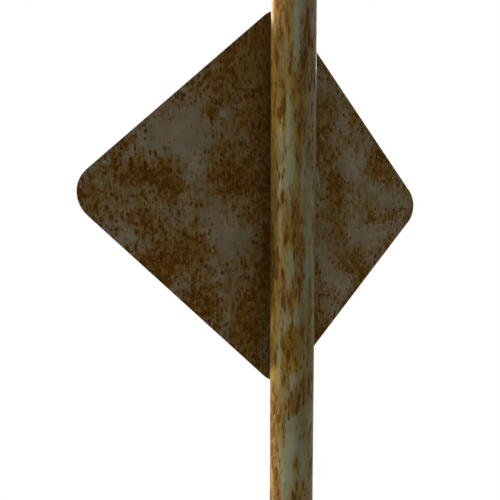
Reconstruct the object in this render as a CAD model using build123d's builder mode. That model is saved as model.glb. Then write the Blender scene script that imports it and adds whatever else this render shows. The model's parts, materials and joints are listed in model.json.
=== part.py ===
from build123d import *
import os

# Signpost with a square sign that stands on one of its corners.
#
# Millimetres, +Z up. The origin is on the post's axis, in the underside of the base plate, so the
# whole thing stands on Z = 0. The sign's printed face looks along -Y and its bare back along +Y,
# where the post stands.

# ---------------------------------------------------------------- driving dimensions

# post: welded steel tube, a standard outside diameter
POST_D = 76.1
POST_WALL = 3.2
POST_TOP_Z = 2220.0

# sign: flat steel blank, a square turned by 45 degrees
SIGN_SIDE = 500.0
SIGN_CORNER_R = 48.0
SIGN_T = 3.0
SIGN_CENTRE_Z = 1833.0

# the two fixings sit on the sign's upright centre line
FIXING_PITCH = 350.0
STAND_OFF = 3.0  # clear gap between the tube and the back of the sign
BOLT_D = 8.0
BOLT_HOLE_D = 9.0

# foot: base plate for four M16 anchors, stiffened by four gussets
BASE_SIDE = 250.0
BASE_T = 12.0
ANCHOR_PITCH = 190.0
ANCHOR_HOLE_D = 18.0
GUSSET_T = 8.0
GUSSET_HEIGHT = 100.0
GUSSET_REACH = 70.0  # from the tube's surface outwards

# ---------------------------------------------------------------- worked-out dimensions

POST_R = POST_D / 2
BORE_R = POST_R - POST_WALL
SIGN_BACK_Y = -(POST_R + STAND_OFF)
SIGN_FRONT_Y = SIGN_BACK_Y - SIGN_T
FIXINGS = {
    "upper": SIGN_CENTRE_Z + FIXING_PITCH / 2,
    "lower": SIGN_CENTRE_Z - FIXING_PITCH / 2,
}
os.makedirs("parts", exist_ok=True)


def facing_road(y, z=SIGN_CENTRE_Z):
    """The upright plane at depth y whose normal points to the road, with its origin at height z."""
    return Plane(origin=(0, y, z), x_dir=(1, 0, 0), z_dir=(0, -1, 0))


def save(part, name):
    """Label one finished piece and write it to its own STEP file."""
    part.label = name
    export_step(part, f"parts/{name}.step")


# ---------------------------------------------------------------- foot: base plate
# A thick plate with rounded corners. The hole in its middle drains the tube and lets zinc run out
# when the post is dipped; it is smaller than the tube's bore, so the tube stands on a full ring.

BASE_CORNER_R = 15.0
BASE_EDGE_CHAMFER = 1.5
DRAIN_D = 50.0

with BuildPart() as base_plate:
    with BuildSketch(Plane.XY):
        RectangleRounded(BASE_SIDE, BASE_SIDE, BASE_CORNER_R)
    extrude(amount=BASE_T)
    chamfer(base_plate.faces().sort_by(Axis.Z)[-1].outer_wire().edges(), BASE_EDGE_CHAMFER)
    with Locations((0, 0, BASE_T)):
        Hole(DRAIN_D / 2)
        with GridLocations(ANCHOR_PITCH, ANCHOR_PITCH, 2, 2):
            Hole(ANCHOR_HOLE_D / 2)

save(base_plate.part, "base_plate")

# ---------------------------------------------------------------- post
# One length of tube from the base plate to the cap, with a hole in its road side for each of the
# two rivet nuts.

RIVET_NUT_D = 11.0

with BuildPart() as post_tube:
    with BuildSketch(Plane.XY.offset(BASE_T)):
        Circle(POST_R)
        Circle(BORE_R, mode=Mode.SUBTRACT)
    extrude(amount=POST_TOP_Z - BASE_T)
    for height in FIXINGS.values():
        with BuildSketch(facing_road(0, height)):
            Circle(RIVET_NUT_D / 2)
        extrude(amount=POST_D, mode=Mode.SUBTRACT)

save(post_tube.part, "post_tube")

# ---------------------------------------------------------------- cap
# A moulded cap: a hollow dome as wide as the tube, and a plug with soft rings that grip the bore.

CAP_RIM = 5.0
CAP_DOME = 15.0
CAP_WALL = 2.5
PLUG_R = BORE_R - 1.6
PLUG_DEPTH = 26.0
PLUG_RINGS = 3
PLUG_RING_T = 1.4
cap_top_z = POST_TOP_Z + CAP_RIM + CAP_DOME

with BuildPart() as post_cap:
    with BuildSketch(Plane.XZ):
        with BuildLine():
            Line((POST_R, POST_TOP_Z), (POST_R, POST_TOP_Z + CAP_RIM))
            TangentArc((0, cap_top_z), (POST_R, POST_TOP_Z + CAP_RIM), tangent=(1, 0))
            Line((0, cap_top_z), (0, cap_top_z - CAP_WALL))
            TangentArc(
                (0, cap_top_z - CAP_WALL),
                (PLUG_R - CAP_WALL, POST_TOP_Z + CAP_WALL),
                tangent=(1, 0),
            )
            Polyline(
                (PLUG_R - CAP_WALL, POST_TOP_Z + CAP_WALL),
                (PLUG_R - CAP_WALL, POST_TOP_Z - PLUG_DEPTH),
                (PLUG_R, POST_TOP_Z - PLUG_DEPTH),
                (PLUG_R, POST_TOP_Z),
                (POST_R, POST_TOP_Z),
            )
        make_face()
    revolve(axis=Axis.Z)
    for ring in range(PLUG_RINGS):
        ring_z = POST_TOP_Z - PLUG_DEPTH * (ring + 1) / (PLUG_RINGS + 1)
        with BuildSketch(Plane.XY.offset(ring_z)):
            Circle(BORE_R)
            Circle(PLUG_R - CAP_WALL / 2, mode=Mode.SUBTRACT)
        extrude(amount=PLUG_RING_T)

save(post_cap.part, "post_cap")

# ---------------------------------------------------------------- foot: gussets and welds
# Four upright plates stand halfway along the sides of the base plate, clear of the anchors. Each
# has its inner lower corner cut off, so that the ring weld runs round the tube unbroken.

GUSSET_CLIP = 14.0
GUSSET_NOSE = 15.0
RING_WELD = 6.0
GUSSET_WELD = 5.0
WELD_BULGE = 0.55  # where the ring weld's face crosses its bisector, as a share of its leg
GUSSET_OVERLAP = 1.0  # a gusset starts inside the tube's surface, then is cut back to fit it
gusset_inner = POST_R - GUSSET_OVERLAP
gusset_outer = POST_R + GUSSET_REACH
gusset_top_z = BASE_T + GUSSET_HEIGHT
GUSSETS = {"right": 0, "back": 90, "left": 180, "front": 270}  # name: direction about +Z, degrees


def turned(angle):
    """The ground plane turned about the post: x runs outwards at this angle and y runs across."""
    return Plane.XY.rotated((0, 0, angle))


for side, angle in GUSSETS.items():
    upright = Plane(origin=(0, 0, 0), x_dir=turned(angle).x_dir, z_dir=-turned(angle).y_dir)
    with BuildPart() as gusset:
        with BuildSketch(upright):
            Polygon(
                (gusset_inner + GUSSET_CLIP, BASE_T),
                (gusset_outer, BASE_T),
                (gusset_outer, BASE_T + GUSSET_NOSE),
                (POST_R + GUSSET_NOSE, gusset_top_z),
                (gusset_inner, gusset_top_z),
                (gusset_inner, BASE_T + GUSSET_CLIP),
                align=None,
            )
        extrude(amount=GUSSET_T / 2, both=True)
        with BuildSketch(Plane.XY.offset(BASE_T)):
            Circle(POST_R)
        extrude(amount=GUSSET_HEIGHT, mode=Mode.SUBTRACT)
    save(gusset.part, f"gusset_{side}")

# the fillet weld round the foot of the tube
with BuildPart() as foot_weld:
    with BuildSketch(Plane.XZ):
        with BuildLine():
            legs = Polyline(
                (POST_R, BASE_T + RING_WELD),
                (POST_R, BASE_T),
                (POST_R + RING_WELD, BASE_T),
            )
            ThreePointArc(
                legs @ 1,
                (POST_R + RING_WELD * WELD_BULGE, BASE_T + RING_WELD * WELD_BULGE),
                legs @ 0,
            )
        make_face()
    revolve(axis=Axis.Z)

save(foot_weld.part, "foot_weld")

# two beads on each flank of each gusset: one along the base plate and one up the tube
with BuildPart() as gusset_welds:
    for angle in GUSSETS.values():
        outwards = turned(angle)
        for flank in (1, -1):
            along_base = Plane(
                origin=outwards.from_local_coords((gusset_inner + GUSSET_CLIP, 0, BASE_T)),
                x_dir=outwards.y_dir,
                z_dir=outwards.x_dir,
            )
            with BuildSketch(along_base):
                Polygon(
                    (flank * GUSSET_T / 2, 0),
                    (flank * (GUSSET_T / 2 + GUSSET_WELD), 0),
                    (flank * GUSSET_T / 2, GUSSET_WELD),
                    align=None,
                )
            extrude(amount=gusset_outer - gusset_inner - GUSSET_CLIP)
            up_tube = Plane(
                origin=outwards.from_local_coords((0, 0, BASE_T + GUSSET_CLIP)),
                x_dir=outwards.x_dir,
                z_dir=(0, 0, 1),
            )
            with BuildSketch(up_tube):
                Polygon(
                    (gusset_inner, flank * GUSSET_T / 2),
                    (POST_R + GUSSET_WELD, flank * GUSSET_T / 2),
                    (gusset_inner, flank * (GUSSET_T / 2 + GUSSET_WELD)),
                    align=None,
                )
            extrude(amount=GUSSET_HEIGHT - GUSSET_CLIP)
    with BuildSketch(Plane.XY.offset(BASE_T)):
        Circle(POST_R)
    extrude(amount=GUSSET_HEIGHT, mode=Mode.SUBTRACT)

save(gusset_welds.part, "gusset_welds")

# ---------------------------------------------------------------- sign plate
# The blank: a square on its point with round corners, two bolt holes and a broken edge.

PLATE_EDGE_CHAMFER = 0.4


def diamond(side, corner_r, mode=Mode.ADD):
    """Draw a square of this side standing on its point, with round corners, in the open sketch."""
    RectangleRounded(side, side, corner_r, rotation=45, mode=mode)


def cut_bolt_holes():
    """Cut both bolt holes out of the open sketch, which is centred on the sign."""
    with Locations((0, FIXING_PITCH / 2), (0, -FIXING_PITCH / 2)):
        Circle(BOLT_HOLE_D / 2, mode=Mode.SUBTRACT)


with BuildPart() as sign_plate:
    with BuildSketch(facing_road(SIGN_BACK_Y)):
        diamond(SIGN_SIDE, SIGN_CORNER_R)
        cut_bolt_holes()
    extrude(amount=SIGN_T)
    chamfer(sign_plate.faces().filter_by(Axis.Y).edges(), PLATE_EDGE_CHAMFER)

save(sign_plate.part, "sign_plate")

# ---------------------------------------------------------------- sheeting on the sign's face
# A white base sheet covers the face. A dark line follows its edge, and a yellow square fills its
# middle. The face carries no symbol and no lettering.

FACE_FILM_T = 0.4
OVERLAY_T = 0.2
FACE_INSET = 1.5
RIM_LINE_INSET = 7.0
RIM_LINE_W = 8.0
CENTRE_SIDE = 310.0
CENTRE_CORNER_R = 14.0
overlay_y = SIGN_FRONT_Y - FACE_FILM_T
face_y = overlay_y - OVERLAY_T  # the surface that the fixings clamp


def diamond_inset(inset, mode=Mode.ADD):
    """Draw the sign's outline moved inwards by inset, in the open sketch."""
    diamond(SIGN_SIDE - 2 * inset, SIGN_CORNER_R - inset, mode=mode)


with BuildPart() as face_film:
    with BuildSketch(facing_road(SIGN_FRONT_Y)):
        diamond_inset(FACE_INSET)
        cut_bolt_holes()
    extrude(amount=FACE_FILM_T)

save(face_film.part, "face_film")

with BuildPart() as rim_line_film:
    with BuildSketch(facing_road(overlay_y)):
        diamond_inset(RIM_LINE_INSET)
        diamond_inset(RIM_LINE_INSET + RIM_LINE_W, mode=Mode.SUBTRACT)
    extrude(amount=OVERLAY_T)

save(rim_line_film.part, "rim_line_film")

with BuildPart() as centre_film:
    with BuildSketch(facing_road(overlay_y)):
        diamond(CENTRE_SIDE, CENTRE_CORNER_R)
        cut_bolt_holes()
    extrude(amount=OVERLAY_T)

save(centre_film.part, "centre_film")

# ---------------------------------------------------------------- fixings
# Each fixing is set from the road side alone. From the road inwards: an M8 hex flange bolt, a
# steel washer, a nylon washer that spares the sheeting, the sign, a saddle that fits the round
# tube, and a blind rivet nut crimped in the tube's wall.

BOLT_LENGTH = 25.0
BOLT_FLANGE_D = 17.0
BOLT_FLANGE_T = 1.2
HEX_ACROSS_FLATS = 13.0
BOLT_HEAD_T = 8.0
BOLT_COLLAR_T = 2.4  # height of the flange where it meets the hexagon
HEX_TOP_D = 12.4  # the flat circle on top of the head
HEX_CROWN_FALL = 2.6  # how far the cone over the corners falls, out to a radius of BOLT_FLANGE_D
BOLT_TIP_CHAMFER = 1.0

WASHER_D = 24.0
STEEL_WASHER_T = 2.0
STEEL_WASHER_HOLE_D = 8.4
NYLON_WASHER_T = 2.0
WASHER_EDGE_CHAMFER = 0.4

SADDLE_SIDE = 40.0
SADDLE_CORNER_R = 4.0
SADDLE_DEPTH = 8.0  # from the back of the sign to the tips of its horns

RIVET_NUT_LENGTH = 17.0
RIVET_NUT_FLANGE_D = 14.0
RIVET_NUT_FLANGE_T = 1.0
CRIMP_D = 15.0
CRIMP_T = 4.0
POCKET_D = 15.0  # clears the rivet nut's flange in the saddle
POCKET_DEPTH = 1.2

nylon_washer_y = face_y
steel_washer_y = nylon_washer_y - NYLON_WASHER_T
bolt_seat_y = steel_washer_y - STEEL_WASHER_T


def make_washer(y, z, hole_d, thickness):
    """A flat ring whose inner face lies at depth y, centred at height z."""
    with BuildPart() as washer:
        with BuildSketch(facing_road(y, z)):
            Circle(WASHER_D / 2)
            Circle(hole_d / 2, mode=Mode.SUBTRACT)
        extrude(amount=thickness)
        rims = washer.edges().filter_by(GeomType.CIRCLE).group_by(SortBy.RADIUS)[-1]
        chamfer(rims, WASHER_EDGE_CHAMFER)
    return washer.part


def make_bolt(z):
    """An M8 hex flange bolt whose flange bears at bolt_seat_y, centred at height z."""
    half_section = Plane(origin=(0, bolt_seat_y, z), x_dir=(1, 0, 0), z_dir=(0, 0, -1))
    bolt_axis = Axis((0, bolt_seat_y, z), (0, -1, 0))
    with BuildPart() as bolt:
        with BuildSketch(facing_road(bolt_seat_y, z)):
            RegularPolygon(HEX_ACROSS_FLATS / 2, 6, major_radius=False)
        extrude(amount=BOLT_HEAD_T)
        # turn the corners of the hexagon down into a shallow cone
        with BuildSketch(half_section):
            Polygon(
                (0, 0),
                (BOLT_FLANGE_D, 0),
                (BOLT_FLANGE_D, BOLT_HEAD_T - HEX_CROWN_FALL),
                (HEX_TOP_D / 2, BOLT_HEAD_T),
                (0, BOLT_HEAD_T),
                align=None,
            )
        revolve(axis=bolt_axis, mode=Mode.INTERSECT)
        # the flange, sloping up to the hexagon
        with BuildSketch(half_section):
            Polygon(
                (0, 0),
                (BOLT_FLANGE_D / 2, 0),
                (BOLT_FLANGE_D / 2, BOLT_FLANGE_T),
                (HEX_ACROSS_FLATS / 2, BOLT_COLLAR_T),
                (0, BOLT_COLLAR_T),
                align=None,
            )
        revolve(axis=bolt_axis)
        with BuildSketch(facing_road(bolt_seat_y, z)):
            Circle(BOLT_D / 2)
        extrude(amount=-BOLT_LENGTH)
        chamfer(bolt.edges().sort_by(Axis.Y)[-1], BOLT_TIP_CHAMFER)
    return bolt.part


def make_saddle(z):
    """A square spacer, flat towards the sign and hollowed to fit the tube, centred at height z."""
    with BuildPart() as saddle:
        with BuildSketch(facing_road(SIGN_BACK_Y, z)):
            RectangleRounded(SADDLE_SIDE, SADDLE_SIDE, SADDLE_CORNER_R)
            Circle(BOLT_HOLE_D / 2, mode=Mode.SUBTRACT)
        extrude(amount=-SADDLE_DEPTH)
        with BuildSketch(Plane.XY.offset(z)):
            Circle(POST_R)
        extrude(amount=SADDLE_SIDE, both=True, mode=Mode.SUBTRACT)
        with BuildSketch(facing_road(-POST_R, z)):
            Circle(POCKET_D / 2)
        extrude(amount=POCKET_DEPTH, both=True, mode=Mode.SUBTRACT)
    return saddle.part


def make_rivet_nut(z):
    """A blind rivet nut in the tube's wall, crimped behind it, centred at height z."""
    with BuildPart() as rivet_nut:
        with BuildSketch(facing_road(-POST_R, z)):
            Circle(RIVET_NUT_FLANGE_D / 2)
        extrude(amount=RIVET_NUT_FLANGE_T)
        with BuildSketch(facing_road(-POST_R, z)):
            Circle(RIVET_NUT_D / 2)
        extrude(amount=-RIVET_NUT_LENGTH)
        with BuildSketch(facing_road(-BORE_R, z)):
            Circle(CRIMP_D / 2)
        extrude(amount=-CRIMP_T)
        # the crimp takes the curve of the wall that it is pressed against
        add(post_tube.part, mode=Mode.SUBTRACT)
        with BuildSketch(facing_road(-POST_R, z)):
            Circle(BOLT_D / 2)
        extrude(amount=RIVET_NUT_LENGTH, both=True, mode=Mode.SUBTRACT)
    return rivet_nut.part


for end, height in FIXINGS.items():
    save(make_bolt(height), f"{end}_bolt")
    save(
        make_washer(steel_washer_y, height, STEEL_WASHER_HOLE_D, STEEL_WASHER_T),
        f"{end}_steel_washer",
    )
    save(
        make_washer(nylon_washer_y, height, BOLT_HOLE_D, NYLON_WASHER_T),
        f"{end}_nylon_washer",
    )
    save(make_saddle(height), f"{end}_saddle")
    save(make_rivet_nut(height), f"{end}_rivet_nut")
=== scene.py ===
# %% [markdown]
# # Dressing a rusty signpost
#
# The CAD model already knows every size and place: a round steel post, a square sign that stands on
# one corner, two blind-bolted fixings and a foot that bolts down. This lesson adds only what the eye
# wants: finer meshes where a curve would show its facets, old paint, rust and dirt, a camera and
# some light. We work in metres, in the same frame as the CAD model, so nothing is fitted afterwards.

# %% Load the CAD model
import json
import math
import random
import bmesh
import bpy
import numpy as np
from mathutils import Matrix, Vector, geometry, noise


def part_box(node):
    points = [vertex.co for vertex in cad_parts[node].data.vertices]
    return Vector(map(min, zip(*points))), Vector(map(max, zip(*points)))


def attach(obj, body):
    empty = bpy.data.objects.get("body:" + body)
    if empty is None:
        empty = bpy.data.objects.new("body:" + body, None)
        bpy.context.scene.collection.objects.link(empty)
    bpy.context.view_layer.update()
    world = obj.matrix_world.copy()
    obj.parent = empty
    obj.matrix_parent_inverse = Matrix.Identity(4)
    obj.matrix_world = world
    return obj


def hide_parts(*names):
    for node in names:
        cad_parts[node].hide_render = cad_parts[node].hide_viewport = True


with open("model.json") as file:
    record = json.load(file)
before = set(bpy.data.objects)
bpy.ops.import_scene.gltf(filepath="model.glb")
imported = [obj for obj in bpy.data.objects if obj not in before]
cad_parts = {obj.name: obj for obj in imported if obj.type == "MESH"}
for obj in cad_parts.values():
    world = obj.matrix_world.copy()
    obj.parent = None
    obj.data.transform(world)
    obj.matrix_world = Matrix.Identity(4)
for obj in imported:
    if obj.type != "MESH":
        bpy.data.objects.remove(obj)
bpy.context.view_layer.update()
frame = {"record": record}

# %% [markdown]
# ## Measures taken from the frame
#
# A CAD node tells us its lowest and highest corners, and that is enough to find the post's radius,
# the sign's middle and the height of each fixing. Only the few measures that a box can't tell, such
# as the radius of a rounded corner, are named here again.

# %% Measures
sign_low, sign_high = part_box("sign_plate")
sign_centre = (sign_low + sign_high) / 2
post_low, post_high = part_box("post_tube")
POST_R = post_high.x
POST_WALL = 0.0032
FIXING_HEIGHTS = {end: sum(corner.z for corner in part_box(f"{end}_bolt")) / 2 for end in ("upper", "lower")}
BOLT_HOLE_R = 0.0045
SIGN_CORNER_R = 0.048
UPRIGHT = Vector((0, 0, 1))
print("post radius", round(POST_R, 4), "fixings at", FIXING_HEIGHTS)

# %% [markdown]
# ## Meshes from grids
#
# Most pieces here are turned or drawn out: a tube, a domed cap, a washer, a bolt, a bead of weld.
# All of them are a grid of points with faces between neighbours, closed one way, both ways or not
# at all. One short helper makes the faces, and a second one turns a profile round an axis.

# %% Grid and lathe
def skin(grid, close_rows=False, close_columns=False):
    """Corners and four-sided faces over a grid of points."""
    rows, columns = len(grid), len(grid[0])
    corners = [point for row in grid for point in row]
    faces = []
    for r in range(rows if close_rows else rows - 1):
        for c in range(columns if close_columns else columns - 1):
            here, above = r * columns, (r + 1) % rows * columns
            after = (c + 1) % columns
            faces.append((here + c, here + after, above + after, above + c))
    return corners, faces


def lathe(profile, steps=64, closed=True):
    """Turn a profile of (radius, height) points round the Z axis."""
    angles = [math.tau * s / steps for s in range(steps)]
    grid = [[Vector((r * math.cos(a), r * math.sin(a), h)) for a in angles] for r, h in profile]
    return skin(grid, close_rows=closed, close_columns=True)


print("a plain disc turned in 64 steps has", len(lathe([(0, 0), (1, 0)], closed=False)[1]), "faces")

# %% [markdown]
# Flat pieces are cut from sheet or plate: an outline with round corners, some holes, a thickness and
# a broken edge. We start with the outlines, as loops of points that run anticlockwise. A round corner
# is an arc whose centre lies on the line that halves the angle between the two sides.

# %% Outlines
def round_corners(corners, radius, steps=20):
    """The outline of a convex polygon with every corner rounded."""
    outline = []
    for i, corner in enumerate(corners):
        before = (corners[i - 1] - corner).normalized()
        after = (corners[(i + 1) % len(corners)] - corner).normalized()
        half = before.angle(after) / 2
        centre = corner + (before + after).normalized() * radius / math.sin(half)
        first = corner + before * radius / math.tan(half) - centre
        last = corner + after * radius / math.tan(half) - centre
        outline += [centre + first.slerp(last, s / steps).normalized() * radius for s in range(steps + 1)]
    return outline


def circle(centre, radius, steps=32):
    """Points round a hole."""
    angles = [math.tau * s / steps for s in range(steps)]
    return [centre + radius * Vector((math.cos(a), math.sin(a))) for a in angles]


def square(half):
    """The corners of an upright square, anticlockwise."""
    return [Vector(p) for p in ((half, -half), (half, half), (-half, half), (-half, -half))]


print("a rounded square has", len(round_corners(square(1), 0.1)), "points")

# %% [markdown]
# The broken edge needs each loop a second time, a little further in, and a fine mesh needs it divided
# into short stretches. The middle of a blank is filled with a grid of loose points. To find out which
# of them lie on the piece and not in a hole, we send out a ray from each one and count the edges that
# it crosses.

# %% Loops and loose points
def inset(loop, distance):
    """Move a loop of points to its left, which is inwards on a loop that runs anticlockwise."""
    moved = []
    for i, point in enumerate(loop):
        along = (loop[(i + 1) % len(loop)] - loop[i - 1]).normalized()
        moved.append(point + Vector((-along.y, along.x)) * distance)
    return moved


def divided(loop, cell):
    """The same loop with no stretch longer than a cell."""
    points = []
    for i, point in enumerate(loop):
        after = loop[(i + 1) % len(loop)]
        pieces = max(1, math.ceil((after - point).length / cell))
        points += [point.lerp(after, s / pieces) for s in range(pieces)]
    return points


def within(spots, loops):
    """Which spots lie inside the first loop and outside the others.

    A ray from such a spot crosses the loops' edges an odd number of times.
    """
    crossings = np.zeros(len(spots), int)
    for loop in loops:
        for i, end in enumerate(loop):
            start = loop[i - 1]
            spans = (spots[:, 1] < start.y) != (spots[:, 1] < end.y)
            slope = (end.x - start.x) / (end.y - start.y) if end.y != start.y else 0
            crossings += spans & (spots[:, 0] < start.x + (spots[:, 1] - start.y) * slope)
    return crossings % 2 == 1


def fill_points(loops, cell):
    """Points on a grid of cells that lie inside the first loop, outside the others and clear of all."""
    rim = np.array([point for loop in loops for point in loop])
    low, high = rim.min(0), rim.max(0)
    xs, ys = (np.arange(low[k] + cell / 2, high[k], cell) for k in (0, 1))
    spots = np.array([(x, y) for x in xs for y in ys]).reshape(-1, 2)
    spots = spots[within(spots, loops)]
    clear = [np.min(np.sum((rim - spot) ** 2, 1)) > (cell / 2) ** 2 for spot in spots]
    return [Vector(spot) for spot in spots[clear]] if len(spots) else []


print("a square of 20 by 20 cells takes", len(fill_points([divided(square(1), 0.1)], 0.1)), "loose points")

# %% [markdown]
# The faces of a blank get a fine mesh, because later on the mesh carries a map of the rust. A
# constrained Delaunay triangulation joins the outline, the holes and the loose points into triangles,
# which fits any shape where a plain grid can't. It also covers the holes, so we drop every triangle
# whose middle lies in one. The wall between the two faces is a grid again.

# %% Flat blanks
INSIDE_ONLY = 1  # the triangulation's number for "leave out what lies outside the outline"


def blank(outline, holes, thickness, chamfer, cell):
    """A flat piece from z = 0 to its thickness. Outline and holes are loops that run anticlockwise."""
    rims = [divided(outline, cell)] + [list(reversed(hole)) for hole in holes]
    edges_in = [inset(rim, chamfer) for rim in rims]
    flat = [point for loop in edges_in for point in loop]
    links = []
    start = 0
    for loop in edges_in:
        links += [(start + i, start + (i + 1) % len(loop)) for i in range(len(loop))]
        start += len(loop)
    flat += fill_points(edges_in, cell)
    points, _, triangles, *_ = geometry.delaunay_2d_cdt(flat, links, [], INSIDE_ONLY, chamfer / 10)
    middles = np.array([sum((points[i] for i in triangle), Vector((0, 0))) / 3 for triangle in triangles])
    triangles = [triangle for triangle, kept in zip(triangles, within(middles, edges_in)) if kept]
    corners, faces = [], []
    for height, order in ((0, -1), (thickness, 1)):
        faces += [[len(corners) + i for i in triangle[::order]] for triangle in triangles]
        corners += [Vector((p.x, p.y, height)) for p in points]
    for rim, inner in zip(rims, edges_in):
        levels = [(inner, 0), (rim, chamfer), (rim, thickness - chamfer), (inner, thickness)]
        rows = [[Vector((p.x, p.y, h)) for p in loop] for loop, h in levels]
        wall, wall_faces = skin(rows, close_columns=True)
        faces += [[len(corners) + i for i in face] for face in wall_faces]
        corners += wall
    return corners, faces


test_blank = blank(round_corners(square(0.1), 0.02), [circle(Vector((0, 0)), 0.03)], 0.01, 0.001, 0.02)
print("a plate with one hole:", len(test_blank[0]), "corners and", len(test_blank[1]), "faces")

# %% [markdown]
# One helper turns corners and faces into a Blender object. It welds the corners that meet, points all faces
# outwards, keeps edges crisp where the surface turns by more than a given angle, hands the piece its finish,
# and hides the CAD nodes that it stands for.

# %% Make a piece
CRISP = 32  # degrees between two faces, above which their edge stays crisp


def make_object(name, shapes, place, weld):
    """An object from (corners, faces) shapes, moved to its place. Corners closer than weld are joined."""
    form = bmesh.new()
    for corners, faces in shapes:
        made = [form.verts.new(place @ Vector(corner)) for corner in corners]
        for face in faces:
            form.faces.new([made[i] for i in face])
    bmesh.ops.remove_doubles(form, verts=form.verts, dist=weld)
    bmesh.ops.recalc_face_normals(form, faces=form.faces)
    mesh = bpy.data.meshes.new(name)
    form.to_mesh(mesh)
    form.free()
    made_object = bpy.data.objects.new(name, mesh)
    bpy.context.scene.collection.objects.link(made_object)
    return made_object


def make_piece(name, shapes, finish, nodes, place=Matrix.Identity(4), crisp=CRISP):
    """One finished piece that stands for these CAD nodes."""
    piece = make_object(name, shapes, place, 2e-6)
    mesh = piece.data
    soften(piece, crisp)
    mesh.materials.append(finish)
    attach(piece, "root")
    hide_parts(*nodes)
    print(f"{name}: {len(mesh.vertices)} corners, {len(mesh.polygons)} faces")
    return piece


def soften(piece, crisp):
    """Smooth shading, except across edges sharper than this many degrees."""
    piece.data.shade_smooth()
    piece.data.set_sharp_from_angle(angle=math.radians(crisp))


def facing_road(depth, height, turn=0):
    """The place of a piece whose own Z points to the road, away from the post."""
    tipped = Matrix.Rotation(math.radians(90), 4, "X")
    return Matrix.Translation((0, depth, height)) @ tipped @ Matrix.Rotation(turn, 4, "Z")


# %% [markdown]
# ## Camera
#
# We stand behind the sign, half a metre away and slightly below its middle, turned a little towards
# the left so that the post crosses in front of the plate. A short lens takes in the whole sign from
# so near. The place hangs on the sign's own measures, so the framing holds if the sign moves.

# %% Camera
CAMERA_ASIDE = 0.309
CAMERA_BEHIND = 0.5567
CAMERA_BELOW = 0.0585
CAMERA_TILT = math.radians(-2.84)
CAMERA_TURN = math.radians(180 - 23.93)
SENSOR_MM = 36
LENS_MM = 24.93
NEAREST = 0.01

lens = bpy.data.cameras.new("camera")
lens.sensor_width = SENSOR_MM
lens.lens = LENS_MM
lens.clip_start = NEAREST
camera = bpy.data.objects.new("camera", lens)
bpy.context.scene.collection.objects.link(camera)
camera.location = sign_centre.x + CAMERA_ASIDE, sign_high.y + CAMERA_BEHIND, sign_centre.z - CAMERA_BELOW
camera.rotation_euler = (math.radians(90) + CAMERA_TILT, 0, CAMERA_TURN)
bpy.context.scene.camera = camera
print("camera at", tuple(round(v, 3) for v in camera.location))

# %% [markdown]
# ## Mixing a finish
#
# A finish is a chain of nodes: noise for blotches, a threshold to turn soft noise into patches, a
# mix of two colours, a bump for the relief. Writing every node out would hide the idea, so each kind
# of node gets one short method. Colours are given as display values from 0 to 255, the way a paint
# chart gives them, and turned into the linear values that a shader wants.

# %% A finish under construction
MIX_AMOUNT, MIX_UNDER, MIX_OVER, MIX_RESULT = 0, 6, 7, 2  # a mix node's sockets when it mixes colours


def tone(red, green, blue):
    """A display colour, 0 to 255, as the linear colour that a shader wants."""
    linear = [((v / 255 + 0.055) / 1.055) ** 2.4 if v > 10 else v / 255 / 12.92 for v in (red, green, blue)]
    return (*linear, 1)


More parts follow.
